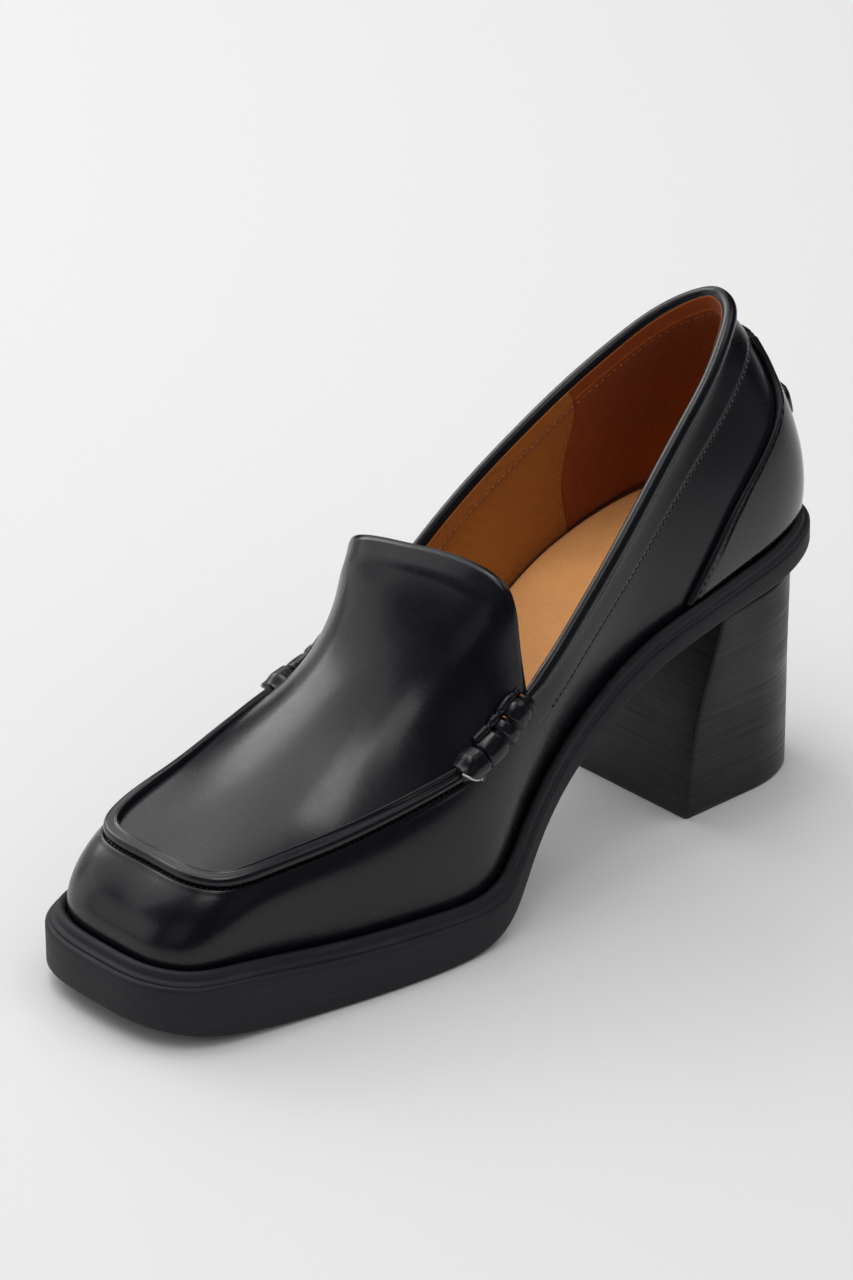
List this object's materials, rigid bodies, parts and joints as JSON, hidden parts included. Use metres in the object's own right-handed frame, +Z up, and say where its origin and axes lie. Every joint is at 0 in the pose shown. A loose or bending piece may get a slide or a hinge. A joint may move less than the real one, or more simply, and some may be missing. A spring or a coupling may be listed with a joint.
{
  "type": "loafer pump",
  "caption": "Left square-toed loafer pump: hollow leather upper with a rolled apron seam, side saddles and tongue, on a rubber sole with a high flared block heel.",
  "frame": {"origin": "on the ground, at the middle of the shoe's overall length and width", "axes": "+Y from the toe to the heel, +X towards the wearer's outer side of this left shoe, +Z up from the ground"},
  "size_m": [0.0882, 0.242, 0.1389],
  "materials": {
    "box_leather": "glossy",
    "roll_leather": "glossy",
    "binding_leather": "glossy",
    "saddle_leather": "glossy",
    "saddle_leather_inner": "glossy",
    "counter_leather": "glossy",
    "tab_leather": "glossy",
    "sole_rubber": "matt",
    "welt_rubber": "matt",
    "heel_stack": "satin, printed with fine level lines",
    "insole_leather": "matt"
  },
  "bodies": {
    "root": {"outsole": "sole_rubber", "welt": "welt_rubber", "heel": "heel_stack", "upper": "box_leather", "apron_roll": "roll_leather", "saddle_lateral": "saddle_leather", "saddle_medial": "saddle_leather_inner", "collar_binding": "binding_leather", "counter": "counter_leather", "back_tab": "tab_leather", "insole": "insole_leather"}
  },
  "joints": []
}
